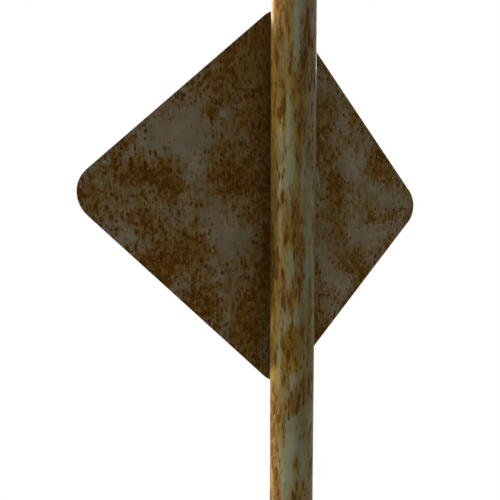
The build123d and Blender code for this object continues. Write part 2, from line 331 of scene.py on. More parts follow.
class Finish:
    """A material being mixed. Each method adds nodes and returns their output."""

    def __init__(self, name, specular=0.3):
        self.material = bpy.data.materials.new(name)
        self.material.use_nodes = True
        self.nodes = self.material.node_tree.nodes
        self.links = self.material.node_tree.links
        self.shader = self.nodes["Principled BSDF"]
        self.shader.inputs["Specular IOR Level"].default_value = specular
        self.place = self.nodes.new("ShaderNodeTexCoord").outputs["Object"]

    def plug(self, value, socket):
        """Join an output to a socket, or set the socket to a plain value."""
        if isinstance(value, bpy.types.NodeSocket):
            self.links.new(value, socket)
        else:
            socket.default_value = value

    def stretched(self, stretch):
        """The surface's own place, squeezed, so that a pattern laid on it comes out stretched."""
        mapping = self.nodes.new("ShaderNodeMapping")
        self.plug(self.place, mapping.inputs["Vector"])
        mapping.inputs["Scale"].default_value = [1 / s for s in stretch]
        return mapping.outputs["Vector"]

    def clouds(self, size, stretch=(1, 1, 1), detail=3, roughness=0.5):
        """Soft noise from 0 to 1 with blotches of about this size, in metres."""
        node = self.nodes.new("ShaderNodeTexNoise")
        self.plug(self.stretched(stretch), node.inputs["Vector"])
        for name, value in (("Scale", 1 / size), ("Detail", detail), ("Roughness", roughness)):
            node.inputs[name].default_value = value
        return node.outputs["Fac"]

    def cells(self, size, stretch=(1, 1, 1), feature="F1", scatter=1.0, warp=0):
        """Distance to the nearest of many scattered points, and a random number for each of them."""
        node = self.nodes.new("ShaderNodeTexVoronoi")
        node.feature = feature
        place = self.stretched(stretch)
        if warp:
            shake = self.nodes.new("ShaderNodeTexNoise")
            self.plug(place, shake.inputs["Vector"])
            shake.inputs["Scale"].default_value = 2 / size
            moved = self.nodes.new("ShaderNodeVectorMath")
            moved.operation = "MULTIPLY_ADD"
            self.plug(shake.outputs["Color"], moved.inputs[0])
            moved.inputs[1].default_value = (warp, warp, warp)
            self.plug(place, moved.inputs[2])
            place = moved.outputs[0]
        self.plug(place, node.inputs["Vector"])
        node.inputs["Scale"].default_value = 1 / size
        node.inputs["Randomness"].default_value = scatter
        if feature != "F1":
            return node.outputs["Distance"], None
        lot = self.nodes.new("ShaderNodeSeparateColor")
        self.plug(node.outputs["Color"], lot.inputs[0])
        return node.outputs["Distance"], lot.outputs[0]

    def mark(self, name):
        """A value that the mesh carries at its corners."""
        node = self.nodes.new("ShaderNodeAttribute")
        node.attribute_name = name
        return node.outputs["Fac"]

    def sum(self, *terms):
        """Add up (output, factor) pairs and plain numbers."""
        total = sum(term for term in terms if not isinstance(term, tuple))
        for output, factor in (term for term in terms if isinstance(term, tuple)):
            node = self.nodes.new("ShaderNodeMath")
            node.operation = "MULTIPLY_ADD"
            self.plug(output, node.inputs[0])
            self.plug(factor, node.inputs[1])
            self.plug(total, node.inputs[2])
            total = node.outputs[0]
        return total

    def product(self, first, second):
        """Two values multiplied."""
        return self.sum((first, second), 0.0)

    def rise(self, value, low, high):
        """0 below the first threshold, 1 above the second, smooth in between."""
        node = self.nodes.new("ShaderNodeMapRange")
        node.interpolation_type = "SMOOTHSTEP"
        self.plug(value, node.inputs["Value"])
        node.inputs["From Min"].default_value = low
        node.inputs["From Max"].default_value = high
        return node.outputs["Result"]

    def mix(self, amount, under, over):
        """The colour under, covered by the colour over by this amount."""
        node = self.nodes.new("ShaderNodeMix")
        node.data_type = "RGBA"
        self.plug(amount, node.inputs[MIX_AMOUNT])
        self.plug(under, node.inputs[MIX_UNDER])
        self.plug(over, node.inputs[MIX_OVER])
        return node.outputs[MIX_RESULT]

    def finished(self, colour, roughness, relief, depth):
        """Set the shader's colour, roughness and relief, which is this deep in metres."""
        self.plug(colour, self.shader.inputs["Base Color"])
        self.plug(roughness, self.shader.inputs["Roughness"])
        node = self.nodes.new("ShaderNodeBump")
        node.inputs["Strength"].default_value = 1
        node.inputs["Distance"].default_value = depth
        self.plug(relief, node.inputs["Height"])
        self.plug(node.outputs["Normal"], self.shader.inputs["Normal"])
        return self.material


# %% [markdown]
# ## Where the rust sits
#
# Rust on old paint is not spread evenly. It starts at scratches, edges and bolts, grows in patches and
# bleeds downwards. Pure noise can't know about that, and painting every spot by hand would take for ever. So
# we do both: a short list of patches says where the rust has taken hold, the mesh carries that map at its
# corners, and noise in the shader breaks it up into spots.
# Two numbers are kept apart: "stain" is the thin ochre film that water leaves, and "rust" is the
# brown scale itself.

# %% Maps of stain and rust
PATCH_EDGE = 1.1  # how hard a patch's edge is: a higher power gives a flatter middle


def lay_map(piece, unwrap, patches, everywhere):
    """Store stain and rust at every corner, and painted light where the base layer has it.

    unwrap gives two flat coordinates for each corner, in which the patches are ovals.
    """
    corners = np.array([vertex.co for vertex in piece.data.vertices])
    across, up = unwrap(corners)
    values = {name: np.clip(value, 0, 1) for name, value in everywhere(corners).items()}
    for centre, height, half_width, half_height, stain, rust in patches:
        away = ((across - centre) / half_width) ** 2 + ((up - height) / half_height) ** 2
        cover = np.exp(-away ** PATCH_EDGE)
        for name, strength in (("stain", stain), ("rust", rust)):
            if strength > 0:
                values[name] = 1 - (1 - values[name]) * (1 - strength * cover)
            else:
                values[name] = values[name] * (1 + strength * cover)
    for name in values:
        layer = piece.data.attributes.new(name, "FLOAT", "POINT")
        layer.data.foreach_set("value", values[name].astype(np.float32))
    print(f"{piece.name}: mean stain {values['stain'].mean():.2f}, mean rust {values['rust'].mean():.2f}")


def drift(corners, size, seed):
    """Slow noise between about -1 and 1 at each corner."""
    return np.array([noise.noise(Vector(corner) / size + Vector((seed, seed, seed))) for corner in corners])


print("drift at the sign's middle:", drift([sign_centre], 0.05, 2).round(2))

# %% [markdown]
# ## The rusty paint
#
# This one recipe serves the post, the back of the sign, the foot and the welds. It is built in coats, from
# the bottom up: dull paint with faint runs, a paler paint tone that is painted light on one side of the
# post, an ochre stain with soft borders, smears of thin rust, rust spots with an orange-brown halo, fine
# specks, dark scale in the middle of the larger spots, and a last thin coat of dark streaks. Everything is
# drawn out downwards, because rain runs down. The relief follows the same masks, so the scale stands proud
# of the paint, and rust is rough where the paint still has some sheen.
#
# Each mask is a weighted sum of noises and of the map on the mesh, cut off softly between two
# thresholds. A larger weight gives that noise more say in where the mask's border runs.

# %% Rusty paint
# A paler paint tone that is painted light on one side of the post.
PAINTED_LIGHT_TONE = tone(138, 118, 70)
SCALE_PROUD = 0.0005


def rusty_paint(name, paint, stains, rusts, seep, spot, stretch, smear, dull, specular):
    """Old paint with ochre stain and rust. paint, stains and rusts are two tones each, dark and light.

    seep and spot are the sizes of a stain and of a rust spot in metres, and both are stretch times as
    tall as wide. smear is how easily the thin rust comes up, dull how rough the bare paint is.
    """
    finish = Finish(name, specular)
    stain, rust = finish.mark("stain"), finish.mark("rust")
    streaks = finish.clouds(0.0028, (1, 1, 9), detail=3, roughness=0.6)
    fog = finish.clouds(0.05, (1, 1, 2.2), detail=4, roughness=0.6)
    colour = finish.mix(finish.rise(finish.sum((streaks, 0.5), (fog, 1.0)), 0.55, 0.95), *paint)
    # Painted light: where the post's map asks for it, the paint turns to a paler tone that stands for light
    # falling on that side.
    painted_light_mask = finish.rise(finish.sum((finish.mark("bleach"), 1.0), (streaks, 0.5), (fog, 0.4)), 0.75, 1.15)
    colour = finish.mix(painted_light_mask, colour, PAINTED_LIGHT_TONE)

    runs = finish.clouds(seep, (1, 1, stretch), detail=5, roughness=0.62)
    wet = finish.rise(finish.sum((runs, 1.8), (streaks, 0.5), (stain, 0.85), -1.17), 0.2, 0.8)
    ochre = finish.mix(finish.rise(finish.clouds(0.012, (1, 1, stretch), detail=4), 0.35, 0.65), *stains)
    colour = finish.mix(finish.product(wet, 0.85), colour, ochre)

    grain = finish.clouds(0.0022, (1, 1, 1.5), detail=3, roughness=0.7)
    field = finish.clouds(spot * 0.9, (1, 1, stretch), detail=5, roughness=0.62)
    cloud = finish.rise(finish.sum((field, 2.0), (streaks, 1.0), (rust, smear), -1.55), 0.3, 0.8)
    size, lot = finish.cells(spot, (1, 1, stretch), warp=0.5 * spot)
    small_size, small_lot = finish.cells(spot * 0.5, (1, 1, stretch * 0.8), warp=0.3 * spot)
    dots = finish.sum((rust, 0.78), (lot, -0.6), (size, -1.0), (field, 0.9), (streaks, 0.8), -0.78)
    small_dots = finish.sum((rust, 0.70), (small_lot, -0.6), (small_size, -1.0), (field, 0.9),
                            (streaks, 0.9), -0.83)
    halo = finish.rise(dots, -0.22, 0.06)
    core = finish.rise(dots, -0.02, 0.12)
    speck = finish.rise(small_dots, 0.0, 0.10)
    brown = finish.mix(finish.rise(finish.sum((grain, 0.5), (field, 0.5)), 0.42, 0.62), *rusts)
    colour = finish.mix(finish.product(cloud, 0.8), colour, rusts[1])
    colour = finish.mix(finish.product(halo, 0.55), colour, rusts[1])
    colour = finish.mix(finish.product(speck, 0.8), colour, brown)
    colour = finish.mix(finish.product(core, 0.9), colour, brown)
    colour = finish.mix(finish.product(finish.rise(streaks, 0.5, 0.75), 0.3), colour, rusts[0])

    peel = finish.clouds(0.0022, detail=2)
    pitted = finish.product(core, grain)
    relief = finish.sum((halo, 0.25), (core, 0.35), (speck, 0.25), (pitted, 0.8), (peel, 0.08))
    scale = finish.rise(finish.sum((halo, 0.5), (speck, 0.6), (core, 0.5)), 0.1, 0.9)
    roughness = finish.sum((scale, 0.9 - dull), (wet, 0.08), (streaks, 0.08), dull - 0.04)
    return finish.finished(colour, roughness, relief, SCALE_PROUD)


# %% [markdown]
# The recipe is mixed four times. On the post the rain runs straight down, so stains and spots are
# four times as tall as wide, and the paint keeps some sheen. The back of the sign is duller, greyer
# and more finely spotted. The foot is like the post, but it stands in splashes and mud, so its spots
# are rounder. The welds are mostly rust already.

# %% Four rusty paints
post_finish = rusty_paint(
    "old_post_paint",
    paint=(tone(94, 96, 70), tone(112, 117, 102)),
    stains=(tone(92, 72, 0), tone(110, 90, 8)),
    rusts=(tone(54, 32, 0), tone(88, 58, 0)),
    seep=0.018, spot=0.0062, stretch=4.0, smear=0.96, dull=0.36, specular=0.20,
)
sign_finish = rusty_paint(
    "old_sign_paint",
    paint=(tone(101, 94, 75), tone(118, 110, 92)),
    stains=(tone(86, 67, 2), tone(102, 81, 12)),
    rusts=(tone(63, 37, 0), tone(93, 57, 0)),
    seep=0.014, spot=0.0072, stretch=1.3, smear=0.75, dull=0.62, specular=0.12,
)
foot_finish = rusty_paint(
    "old_foot_paint",
    paint=(tone(94, 95, 72), tone(112, 116, 100)),
    stains=(tone(98, 74, 16), tone(116, 92, 28)),
    rusts=(tone(54, 31, 6), tone(88, 53, 8)),
    seep=0.017, spot=0.009, stretch=1.2, smear=0.8, dull=0.55, specular=0.3,
)
weld_finish = rusty_paint(
    "rusty_weld",
    paint=(tone(90, 84, 60), tone(108, 102, 78)),
    stains=(tone(94, 68, 18), tone(114, 84, 26)),
    rusts=(tone(52, 30, 6), tone(84, 50, 8)),
    seep=0.011, spot=0.006, stretch=1.0, smear=0.8, dull=0.55, specular=0.3,
)
print("rusty paints:", [finish.name for finish in (post_finish, sign_finish, foot_finish, weld_finish)])

# %% [markdown]
# ## The post
#
# The post is one length of steel tube. It is turned here from a closed profile: up the outside, over
# the top, down the bore and back. The outside gets a ring of corners every eight millimetres, enough
# to carry the rust map.

# %% Post
ROW = 0.008
END_BREAK = 0.0004
BORE_R = POST_R - POST_WALL
POST_STEPS = 96
post_length = post_high.z - post_low.z
rows = round(post_length / ROW)
plain_length = post_length - 2 * END_BREAK
outside = [(POST_R, post_low.z + END_BREAK + plain_length * r / rows) for r in range(rows + 1)]
ends = [(POST_R - END_BREAK, post_high.z), (BORE_R, post_high.z), (BORE_R, post_low.z),
        (POST_R - END_BREAK, post_low.z)]
post = make_piece("post", [lathe(outside + ends, POST_STEPS)], post_finish, ["post_tube"])

# %% [markdown]
# The two rivet nuts sit in drilled holes. A hole that meets a round wall has an edge that bends two
# ways at once, which is hard to lay out by hand, so a boolean cuts it. The cut is baked into the mesh
# at once, because the map of the rust needs to know every corner.

# %% Drilled holes
NUT_HOLE_R = 0.0055


def settle(piece):
    """Bake a piece's modifiers into its mesh."""
    bpy.context.view_layer.update()
    made = piece.evaluated_get(bpy.context.evaluated_depsgraph_get())
    mesh = bpy.data.meshes.new_from_object(made)
    piece.modifiers.clear()
    piece.data = mesh


def cut_away(piece, shape, place):
    """Cut a shape out of a piece with a boolean."""
    cutter = make_object("cutter", [shape], place, 1e-6)
    boolean = piece.modifiers.new("cut", "BOOLEAN")
    boolean.operation = "DIFFERENCE"
    boolean.solver = "EXACT"
    boolean.object = cutter
    settle(piece)
    bpy.data.objects.remove(cutter)


drill_reach = POST_R + POST_WALL
drill = lathe([(0, 0), (NUT_HOLE_R, 0), (NUT_HOLE_R, drill_reach), (0, drill_reach)], 32, closed=False)
for height in FIXING_HEIGHTS.values():
    cut_away(post, drill, facing_road(0, height))
soften(post, CRISP)
print("drilled post:", len(post.data.vertices), "corners")

# %% [markdown]
# The patches on the post are given by where they sit round it, in degrees from +X towards +Y, and by
# their height above or below the middle of the sign. Each has a strength for stain and one for rust,
# and a strength below zero is a place that the rain has washed clean. The sides that nobody looks at
# closely get patches from a seeded draw, and the lowest stretch is rusty all round, because rain
# splashes up from the ground.

# %% Rust on the post
POST_PATCHES = [
    # degrees, height, half width in degrees, half height, stain, rust
    (66, 0.255, 8, 0.055, -0.9, -0.9),
    (42, 0.232, 5, 0.025, -0.6, -0.8),
    (47, 0.145, 5, 0.045, -0.8, -0.8),
    (50, 0.045, 14, 0.040, -0.6, -0.7),
    (84, 0.030, 6, 0.050, -0.6, -0.5),
    (52, -0.112, 9, 0.035, -0.9, -0.8),
    (97, -0.130, 6, 0.080, -0.9, -0.8),
    (70, -0.197, 9, 0.014, -0.8, -0.7),
    (25, -0.275, 6, 0.050, -0.9, -0.8),
    (62, -0.300, 9, 0.014, -0.8, -0.7),
    (60, -0.398, 22, 0.032, -1.0, -0.9),
    (50, -0.455, 15, 0.050, -1.0, -0.9),
    (90, -0.450, 8, 0.030, -0.6, -0.7),
    (20, 0.285, 14, 0.045, 0.6, 0.85),
    (44, 0.285, 6, 0.030, 0.6, 0.7),
    (18, 0.210, 10, 0.050, 0.9, 0.55),
    (52, 0.225, 7, 0.026, 0.5, 0.85),
    (93, 0.275, 13, 0.060, 0.6, 0.85),
    (84, 0.215, 9, 0.030, 0.7, 0.85),
    (74, 0.160, 12, 0.040, 0.9, 0.5),
    (34, 0.150, 9, 0.045, 0.8, 0.75),
    (59, 0.162, 5, 0.014, 0.6, 0.8),
    (77, 0.112, 13, 0.025, 0.8, 0.9),
    (12, 0.140, 10, 0.060, 0.9, 0.1),
    (33, 0.000, 7, 0.016, 0.7, 0.75),
    (64, -0.018, 11, 0.028, 0.8, 0.8),
    (10, -0.010, 8, 0.030, 0.8, 0.4),
    (45, -0.060, 8, 0.020, 0.8, 0.85),
    (68, -0.062, 14, 0.040, 0.9, 0.6),
    (5, -0.100, 12, 0.050, 1.0, 0.95),
    (80, -0.092, 8, 0.022, 0.8, 0.75),
    (35, -0.165, 7, 0.026, 0.8, 0.8),
    (60, -0.165, 9, 0.028, 0.9, 0.8),
    (79, -0.160, 6, 0.020, 0.7, 0.8),
    (12, -0.165, 10, 0.030, 0.9, 0.3),
    (57, -0.247, 19, 0.030, 0.9, 0.85),
    (87, -0.219, 7, 0.018, 0.6, 0.8),
    (14, -0.225, 9, 0.012, 0.6, 0.85),
    (9, -0.275, 8, 0.024, 0.8, 0.85),
    (36, -0.298, 6, 0.020, 0.7, 0.8),
    (48, -0.298, 4, 0.016, 0.6, 0.75),
    (84, -0.309, 6, 0.010, 0.8, 1.0),
    (70, -0.340, 25, 0.024, 1.0, 0.85),
    (3, -0.350, 14, 0.040, 1.0, 0.75),
    (39, -0.385, 6, 0.028, 0.9, 0.9),
    (19, -0.420, 5, 0.012, 0.6, 0.85),
    (73, -0.443, 13, 0.017, 1.0, 0.35),
    (73, -0.443, 7, 0.009, 0.8, 1.0),
    (12, -0.477, 8, 0.018, 0.8, 0.8),
    (-8, -0.420, 14, 0.070, 1.0, 0.6),
    (-14, -0.130, 12, 0.070, 1.0, 0.8),
    (73, -0.508, 8, 0.014, 0.9, 0.9),
    (97, -0.500, 7, 0.022, 0.8, 0.8),
    (114, -0.408, 8, 0.018, 0.7, 0.75),
    (105, -0.310, 6, 0.018, 0.6, 0.75),
    (112, 0.100, 9, 0.060, 0.6, 0.5),
    (18, -0.350, 12, 0.030, 0.9, 0.75),
    (10, -0.440, 18, 0.045, 1.0, 0.85),
    (16, -0.510, 14, 0.035, 0.9, 0.80),
    (14, 0.330, 12, 0.040, 0.9, 0.60),
    (108, -0.200, 8, 0.060, 0.7, 0.5),
]
SEEN_SIDE = (-30, 150)
SEEN_HEIGHTS = (-0.45, 0.34)
DRAWS = 150
draw = random.Random(11)
for _ in range(DRAWS):
    angle, height = draw.uniform(-180, 180), draw.uniform(-1.8, 0.4)
    seen = SEEN_SIDE[0] < angle < SEEN_SIDE[1] and SEEN_HEIGHTS[0] < height < SEEN_HEIGHTS[1]
    size = draw.uniform(6, 16), draw.uniform(0.015, 0.07)
    strength = draw.uniform(0.3, 0.9), draw.uniform(0.2, 0.95)
    if not seen:
        POST_PATCHES.append((angle, height, *size, *strength))
print(len(POST_PATCHES), "patches on the post")

# %% [markdown]
# Under the patches lies a base layer. It drifts slowly, and it carries painted light: paler paint on one
# side and less stain on another, where light falls on the post. It also knows the weather: the side that the
# rain washes, and the splashes near the ground.

# %% The post's weather
def unroll(corners):
    """Degrees round the post, and height from the middle of the sign."""
    return np.degrees(np.arctan2(corners[:, 1], corners[:, 0])), corners[:, 2] - sign_centre.z


# Painted light: the paint on this side of the post is made paler, from this height up, where light falls on
# it.
PAINTED_LIGHT_SIDE = -22  # degrees round the post
PAINTED_LIGHT_HALF = 38
PAINTED_LIGHT_FADE = 8
PAINTED_LIGHT_FROM = -0.30  # metres from the sign's middle: the painted light starts here and grows upwards
PAINTED_LIGHT_RISE = 0.06
# Painted light: less stain on this side of the post makes it lighter, where light falls on it.
RIGHT_LIGHT_SIDE = 108
RIGHT_LIGHT_HALF = 14
ROAD_SIDE = (-165, -20)
ROAD_FADE = 20
SPLASH_HEIGHT = 0.16


def around_post(corners):
    """Some drift everywhere, rust low down, painted light as paler paint and less stain on two sides, and a
    cleaner road side.
    """
    splash = np.exp(-((corners[:, 2] - post_low.z) / SPLASH_HEIGHT))
    slow = drift(corners, 0.09, 5)
    degrees, height = unroll(corners)
    right_painted_light = np.exp(-((degrees - RIGHT_LIGHT_SIDE) / RIGHT_LIGHT_HALF) ** 2)
    washed = np.clip((ROAD_SIDE[1] - degrees) / ROAD_FADE, 0, 1)
    washed = washed * np.clip((degrees - ROAD_SIDE[0]) / ROAD_FADE, 0, 1)
    # Painted light: a band of paler paint round the post's lit side, from below the sign upwards.
    bleach = np.clip((PAINTED_LIGHT_HALF - np.abs(degrees - PAINTED_LIGHT_SIDE)) / PAINTED_LIGHT_FADE, 0, 1)
    bleach = bleach * np.clip((height - PAINTED_LIGHT_FROM) / PAINTED_LIGHT_RISE, 0, 1)
    # The small minus term on stain at 108 degrees round the post is painted light: that side comes out
    # lighter.
    stain = 0.74 + 0.25 * slow + 0.4 * splash - 0.12 * right_painted_light - 0.35 * washed
    rust = 0.42 + 0.3 * slow + 0.6 * splash
    return {"stain": stain, "rust": rust, "bleach": bleach}


lay_map(post, unroll, POST_PATCHES, around_post)

# %% [markdown]
# ## The sign plate
#
# The plate is a square of three-millimetre steel that stands on its point, with its corners rounded
# and its edges broken. Its back carries most of the rust in this model, so it gets the finest map: a
# corner every six millimetres.

# %% Sign plate
def diamond(half_width, corner_r):
    """The outline of a rounded square on its point, half_width from its middle to each rounded tip."""
    tip = half_width + corner_r * (math.sqrt(2) - 1)
    tips = [Vector(p) for p in ((tip, 0), (0, tip), (-tip, 0), (0, -tip))]
    return round_corners(tips, corner_r)


def bolt_holes():
    """The two holes on the sign's upright centre line."""
    centres = [Vector((0, height - sign_centre.z)) for height in FIXING_HEIGHTS.values()]
    return [circle(centre, BOLT_HOLE_R) for centre in centres]


PLATE_EDGE = 0.0004
PLATE_CELL = 0.006
sign_t = sign_high.y - sign_low.y
plate_shape = blank(diamond(sign_high.x, SIGN_CORNER_R), bolt_holes(), sign_t, PLATE_EDGE, PLATE_CELL)
plate = make_piece("sign_blank", [plate_shape], sign_finish, ["sign_plate"],
                   facing_road(sign_high.y, sign_centre.z))

# %% [markdown]
# The patches are placed by their distance across and above the middle of the sign. Across counts
# along +X, which is to the right for someone on the road. The cut edge of a plate holds paint badly,
# so rust follows it all round.

# %% Rust on the sign plate
PLATE_PATCHES = [
    # across, up, half width, half height, stain, rust
    (0.055, 0.255, 0.050, 0.090, 0.9, 0.42),
    (0.020, 0.150, 0.045, 0.080, 0.9, 0.45),
    (0.110, 0.195, 0.030, 0.050, 0.8, 0.50),
    (0.130, 0.140, 0.014, 0.028, 0.6, 0.95),
    (0.060, 0.130, 0.045, 0.060, 0.6, 0.45),
    (0.240, 0.030, 0.040, 0.030, 0.9, 0.95),
    (0.200, 0.015, 0.026, 0.036, 0.8, 1.00),
    (0.100, 0.035, 0.045, 0.048, 0.9, 0.95),
    (0.045, 0.040, 0.025, 0.060, 0.7, 0.60),
    (0.235, -0.045, 0.034, 0.022, 0.6, 0.75),
    (0.165, -0.075, 0.040, 0.035, 0.7, 0.65),
    (0.030, -0.060, 0.030, 0.080, 0.9, 0.65),
    (0.215, -0.105, 0.055, 0.028, 0.8, 0.90),
    (0.150, -0.175, 0.045, 0.045, 0.7, 0.75),
    (0.060, -0.235, 0.045, 0.070, 0.9, 0.75),
    (0.310, -0.010, 0.020, 0.030, 0.7, 0.50),
    (0.045, -0.150, 0.030, 0.050, 0.6, 0.60),
    (-0.120, 0.035, 0.026, 0.045, 0.9, 0.90),
    (-0.085, 0.120, 0.032, 0.055, 0.9, 0.60),
    (-0.095, 0.190, 0.030, 0.040, 0.6, 0.35),
    (-0.225, 0.085, 0.028, 0.034, 0.8, 0.75),
    (-0.255, 0.060, 0.025, 0.025, 0.8, 0.70),
    (-0.165, 0.130, 0.030, 0.035, 0.6, 0.30),
    (-0.130, -0.050, 0.030, 0.055, 0.7, 0.55),
    (-0.215, -0.025, 0.025, 0.020, 0.4, 0.70),
    (-0.275, -0.015, 0.025, 0.020, 0.3, 0.65),
    (-0.185, -0.140, 0.026, 0.026, 0.6, 0.60),
    (-0.075, -0.205, 0.025, 0.050, 0.8, 0.75),
    (-0.070, -0.130, 0.020, 0.030, 0.6, 0.70),
    (-0.150, -0.110, 0.030, 0.025, 0.4, 0.55),
    (-0.060, -0.270, 0.030, 0.030, 0.7, 0.70),
    (0.190, 0.100, 0.050, 0.030, -0.9, -0.6),
    (0.095, -0.065, 0.028, 0.020, -0.7, -0.6),
    (-0.155, 0.065, 0.024, 0.036, -0.5, -0.5),
    (-0.100, -0.120, 0.016, 0.030, -0.7, -0.7),
    (-0.170, -0.060, 0.020, 0.020, -0.5, -0.4),
    (-0.270, 0.010, 0.025, 0.025, -0.5, -0.3),
]


def flatten(corners):
    """Across the sign and up from its middle."""
    return corners[:, 0], corners[:, 2] - sign_centre.z


def at_edge(corners, depth):
    """1 at the sign's four sides, and fading inwards over about this depth."""
    across, up = flatten(corners)
    from_edge = (sign_high.x - np.abs(across) - np.abs(up)) / math.sqrt(2)
    return np.exp(-(np.clip(from_edge, 0, 1) / depth))


def over_plate(corners):
    """Some drift, and more rust along the cut edge."""
    slow = drift(corners, 0.05, 2)
    edge = at_edge(corners, 0.008)
    return {"stain": 0.50 + 0.35 * slow, "rust": 0.34 + 0.25 * slow + 0.3 * edge}


lay_map(plate, flatten, PLATE_PATCHES, over_plate)

# %% [markdown]
# ## The reflective sheeting
#
# Reflective sheeting is a plastic film with thousands of tiny sealed cells, which show as a fine
# lattice when you come close. Years of sun bleach and dull it, the rain leaves grey and brown runs,
# and rust creeps in under it from the bolts and the edge. One recipe makes all three films: only the
# colour and the strength of the lattice differ. Its cells come from a Voronoi pattern with no
# scatter, which is a plain square grid, turned by 45 degrees so that it runs with the sign's sides.

# %% Sheeting finish
CELL = 0.0036
LATTICE_GREY = tone(120, 118, 106)
GRIME = tone(112, 100, 74)
RUSTY_WATER = tone(150, 98, 42)
FILM_RUSTS = (tone(74, 40, 18), tone(120, 66, 26))


def sheeting(name, colours, lattice_strength):
    """Faded reflective film. colours are its bleached tone and its better-kept tone."""
    finish = Finish(name, 0.35)
    straight = finish.place
    lattice_turn = finish.nodes.new("ShaderNodeMapping")
    lattice_turn.inputs["Rotation"].default_value = (0, math.radians(45), 0)
    finish.plug(straight, lattice_turn.inputs["Vector"])
    finish.place = lattice_turn.outputs["Vector"]
    lattice = finish.rise(finish.cells(CELL, feature="DISTANCE_TO_EDGE", scatter=0)[0], 0.0, 0.09)
    finish.place = straight

    bleach = finish.clouds(0.11, (1, 1, 1.5), detail=4, roughness=0.6)
    colour = finish.mix(finish.rise(bleach, 0.35, 0.65), *colours)
    walls = finish.sum((lattice, -lattice_strength), lattice_strength)
    colour = finish.mix(walls, colour, LATTICE_GREY)

    runs = finish.clouds(0.012, (1, 1, 9), detail=4, roughness=0.6)
    grime = finish.rise(finish.sum((runs, 0.8), (finish.clouds(0.09, detail=3), 0.5)), 0.62, 0.95)
    colour = finish.mix(finish.product(grime, 0.55), colour, GRIME)

    rust = finish.mark("rust")
    stain = finish.mark("stain")
    seep = finish.clouds(0.02, (1, 1, 3.2), detail=5, roughness=0.6)
    wet = finish.rise(finish.sum((seep, 1.0), (stain, 0.55)), 0.72, 1.0)
    colour = finish.mix(finish.product(wet, 0.7), colour, RUSTY_WATER)
    field = finish.clouds(0.010, (1, 1, 1.3), detail=5, roughness=0.62)
    scale = finish.rise(finish.sum((field, 1.0), (rust, 0.45)), 0.86, 0.93)
    colour = finish.mix(scale, colour, finish.mix(finish.clouds(0.003), *FILM_RUSTS))

    relief = finish.sum((lattice, 0.12), (scale, 0.8), (finish.clouds(0.05, detail=2), 0.5))
    roughness = finish.sum((grime, 0.22), (scale, 0.4), (bleach, 0.12), 0.40)
    return finish.finished(colour, roughness, relief, 0.0003)


white_film = sheeting("white_film", (tone(162, 159, 147), tone(147, 144, 132)), 0.5)
black_film = sheeting("black_film", (tone(58, 57, 54), tone(38, 37, 36)), 0.25)
yellow_film = sheeting("yellow_film", (tone(174, 128, 32), tone(160, 102, 8)), 0.5)
print("three films mixed")

# %% [markdown]
# The three films are cut like the plate. The black line is a ring, so its hole is a smaller diamond.
# Films that lie on each other never share a surface, because each takes its depth from its CAD node.
# Below each bolt a run of rust is laid into the map, and a thin band of it follows the rim.

# %% Films
FILM_EDGE = 0.00004
FILM_CELL = 0.010
RIM_LINE_W = 0.008
CENTRE_CORNER_R = 0.014


def film(name, node, corner_r, holes, finish):
    """A film cut to the outline of its CAD node."""
    low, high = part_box(node)
    shape = blank(diamond(high.x, corner_r), holes, high.y - low.y, FILM_EDGE, FILM_CELL)
    piece = make_piece(name, [shape], finish, [node], facing_road(high.y, sign_centre.z))
    lay_map(piece, flatten, FILM_PATCHES, over_film)
    return piece


def over_film(corners):
    """Rust creeps in from the rim, mostly at the lower two sides."""
    low_side = np.clip((sign_centre.z - corners[:, 2]) / sign_high.x + 0.7, 0.3, 1)
    edge = at_edge(corners, 0.012) * low_side
    slow = drift(corners, 0.04, 9)
    return {"stain": 0.5 * edge + 0.15 * slow, "rust": 0.75 * edge + 0.25 * slow}


FILM_PATCHES = []
for height in FIXING_HEIGHTS.values():
    up = height - sign_centre.z
    FILM_PATCHES += [(0.0, up, 0.016, 0.016, 0.8, 0.7), (0.002, up - 0.030, 0.010, 0.040, 0.9, 0.25),
                     (-0.005, up - 0.075, 0.006, 0.050, 0.6, 0.0)]

face_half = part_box("face_film")[1].x
face_corner_r = SIGN_CORNER_R - (sign_high.x - face_half)
film("white_face", "face_film", face_corner_r, bolt_holes(), white_film)
rim_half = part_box("rim_line_film")[1].x
rim_corner_r = SIGN_CORNER_R - (sign_high.x - rim_half)
inner_rim = divided(diamond(rim_half - RIM_LINE_W, rim_corner_r - RIM_LINE_W), FILM_CELL)
film("black_rim_line", "rim_line_film", rim_corner_r, [inner_rim], black_film)
film("yellow_centre", "centre_film", CENTRE_CORNER_R, bolt_holes(), yellow_film)

# %% [markdown]
# ## The cap
#
# A moulded plastic cap keeps the rain out of the tube. Sun turns black plastic chalky grey, and dirt
# settles on it in streaks. The same recipe, with other tones, serves the saddles and the nylon.

# %% Plastic finish
PLASTIC_DIRT = tone(104, 84, 54)


def weathered_plastic(name, dark, chalky, specular=0.35):
    """Dull moulded plastic: chalked by the sun, a little dirty, with a fine moulded grain."""
    finish = Finish(name, specular)
    chalk = finish.clouds(0.02, (1, 1, 1.5), detail=5, roughness=0.65)
    colour = finish.mix(finish.rise(chalk, 0.35, 0.7), dark, chalky)
    dirt = finish.rise(finish.clouds(0.006, (1, 1, 3), detail=4, roughness=0.7), 0.55, 0.75)
    colour = finish.mix(finish.product(dirt, 0.5), colour, PLASTIC_DIRT)
    grain = finish.clouds(0.0009, detail=2)
    relief = finish.sum((grain, 0.5), (finish.clouds(0.012, detail=3), 0.8))
    roughness = finish.sum((chalk, 0.35), (dirt, 0.2), 0.42)
    return finish.finished(colour, roughness, relief, 0.0002)


cap_finish = weathered_plastic("chalky_black_plastic", tone(44, 43, 41), tone(88, 86, 80))
print("plastic mixed:", cap_finish.name)

# %% [markdown]
# The cap has a soft-edged dome, a small pit in its middle where the mould was filled, and a plug with
# three rings that grip the bore. It is turned from one profile that starts and ends on the axis.

